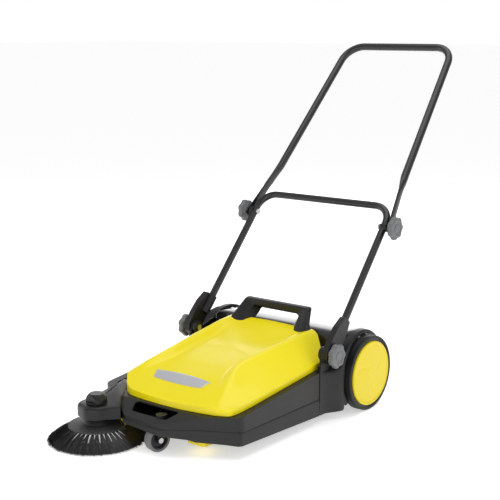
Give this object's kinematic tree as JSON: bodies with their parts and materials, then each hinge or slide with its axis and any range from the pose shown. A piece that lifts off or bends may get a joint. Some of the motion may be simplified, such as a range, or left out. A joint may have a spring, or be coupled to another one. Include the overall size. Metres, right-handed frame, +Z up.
{
  "type": "walk behind sweeper",
  "caption": "Push sweeper with a bowed nose, side brush, main roller driven by ring gears in the wheels, rear waste bin and folding tube handle.",
  "frame": {"origin": "centre of the machine's overall box, at floor level", "axes": "+Z up, +Y towards the push handle (rear), +X to the side of the belt-free drive wheel"},
  "size_m": [0.5394, 1.295, 0.951],
  "materials": {
    "black_plastic": "satin, fine grain",
    "wheel_plastic": "satin",
    "yellow_hood": "glossy",
    "yellow_plastic": "semi-gloss",
    "gloss_black_plastic": "glossy",
    "badge_silver": "satin silver",
    "tread_rubber": "matte",
    "grey_rubber": "matte",
    "black_rubber": "matte",
    "knob_grey": "satin",
    "painted_tube": "semi-gloss powder coat",
    "zinc_steel": "zinc plated",
    "gear_nylon": "natural nylon",
    "roller_plastic": "matte",
    "bristle_black": "matte fibres"
  },
  "bodies": {
    "base": {"chassis": "black_plastic", "side_panel_left": "black_plastic", "side_panel_right": "black_plastic", "panel_screws": "zinc_steel", "nose_liner": "yellow_plastic", "front_skid": "yellow_plastic", "hood": "yellow_hood", "badge": "badge_silver", "carry_handle": "black_plastic", "front_flap": "black_rubber", "stub_axles": "zinc_steel", "roller_bushes": "gear_nylon", "drive_belt": "black_rubber", "brush_arm": "black_plastic", "spindle_bush": "gear_nylon", "brush_cap": "black_plastic", "pivot_bolts": "zinc_steel"},
    "wheel_left": {"wheel_left": "wheel_plastic", "tyre_left": "tread_rubber", "hub_cap_left": "yellow_plastic", "drive_pulley": "gear_nylon"},
    "wheel_right": {"wheel_right": "wheel_plastic", "tyre_right": "tread_rubber", "hub_cap_right": "yellow_plastic"},
    "pinion_left": {"pinion_left": "gear_nylon"},
    "roller": {"roller_shaft": "zinc_steel", "roller_core": "roller_plastic", "roller_bristles": "bristle_black", "pinion_right": "gear_nylon"},
    "side_brush": {"brush_spindle": "zinc_steel", "brush_pulley": "gear_nylon", "brush_plate": "roller_plastic", "brush_bristles": "bristle_black", "brush_screw": "zinc_steel"},
    "castor_fork": {"castor_fork": "black_plastic", "castor_stem": "zinc_steel", "castor_axle": "zinc_steel"},
    "castor_wheel": {"castor_wheel": "black_plastic", "castor_tyre": "grey_rubber"},
    "waste_container": {"waste_container": "gloss_black_plastic", "container_grip": "black_plastic", "container_lip": "black_rubber"},
    "lower_handle": {"lower_tube": "painted_tube", "foot_left": "black_plastic", "foot_right": "black_plastic", "joint_saddles": "black_plastic", "joint_bolts": "zinc_steel"},
    "upper_handle": {"upper_tube": "painted_tube"},
    "pivot_knob_left": {"pivot_knob_left": "knob_grey"},
    "pivot_knob_right": {"pivot_knob_right": "knob_grey"},
    "joint_knob_left": {"joint_knob_left": "knob_grey"},
    "joint_knob_right": {"joint_knob_right": "knob_grey"}
  },
  "joints": [
    {"name": "wheel_left_spin", "type": "hinge", "parent": "base", "child": "wheel_left", "pos_m": [-0.24825, 0.0825, 0.1], "axis": [1, 0, 0], "continuous": true},
    {"name": "wheel_right_spin", "type": "hinge", "parent": "base", "child": "wheel_right", "pos_m": [0.25175, 0.0825, 0.1], "axis": [1, 0, 0], "continuous": true},
    {"name": "pinion_left_spin", "type": "hinge", "parent": "base", "child": "pinion_left", "pos_m": [-0.23825, 0.03054, 0.07], "axis": [1, 0, 0], "continuous": true},
    {"name": "roller_spin", "type": "hinge", "parent": "base", "child": "roller", "pos_m": [0.00175, 0.03054, 0.07], "axis": [1, 0, 0], "continuous": true},
    {"name": "side_brush_spin", "type": "hinge", "parent": "base", "child": "side_brush", "pos_m": [-0.14475, -0.5225, 0.06], "axis": [0, 0, 1], "continuous": true},
    {"name": "castor_swivel", "type": "hinge", "parent": "base", "child": "castor_fork", "pos_m": [0.03175, -0.4795, 0.068], "axis": [0, 0, 1], "continuous": true},
    {"name": "castor_spin", "type": "hinge", "parent": "castor_fork", "child": "castor_wheel", "pos_m": [0.02817, -0.492, 0.031], "axis": [0.9613, -0.2756, 0], "continuous": true},
    {"name": "container_slide", "type": "slide", "parent": "base", "child": "waste_container", "axis": [0, 1, 0], "range_m": [0, 0.25]},
    {"name": "lower_fold", "type": "hinge", "parent": "base", "child": "lower_handle", "pos_m": [0.00175, -0.0645, 0.178], "axis": [1, 0, 0], "range_deg": [0, 125]},
    {"name": "upper_fold", "type": "hinge", "parent": "lower_handle", "child": "upper_handle", "pos_m": [0.00175, 0.20538, 0.47076], "axis": [1, 0, 0], "range_deg": [-90, 0]},
    {"name": "pivot_knob_left_turn", "type": "hinge", "parent": "lower_handle", "child": "pivot_knob_left", "pos_m": [-0.24895, -0.0645, 0.178], "axis": [-1, 0, 0], "continuous": true},
    {"name": "pivot_knob_right_turn", "type": "hinge", "parent": "lower_handle", "child": "pivot_knob_right", "pos_m": [0.25245, -0.0645, 0.178], "axis": [1, 0, 0], "continuous": true},
    {"name": "joint_knob_left_turn", "type": "hinge", "parent": "lower_handle", "child": "joint_knob_left", "pos_m": [-0.25065, 0.20538, 0.47076], "axis": [-1, 0, 0], "continuous": true},
    {"name": "joint_knob_right_turn", "type": "hinge", "parent": "lower_handle", "child": "joint_knob_right", "pos_m": [0.25415, 0.20538, 0.47076], "axis": [1, 0, 0], "continuous": true}
  ],
  "couplings": [
    {"joint": "pinion_left_spin", "follows": "wheel_left_spin", "ratio": 4},
    {"joint": "side_brush_spin", "follows": "wheel_left_spin", "ratio": 1.5},
    {"joint": "roller_spin", "follows": "wheel_right_spin", "ratio": 4}
  ]
}
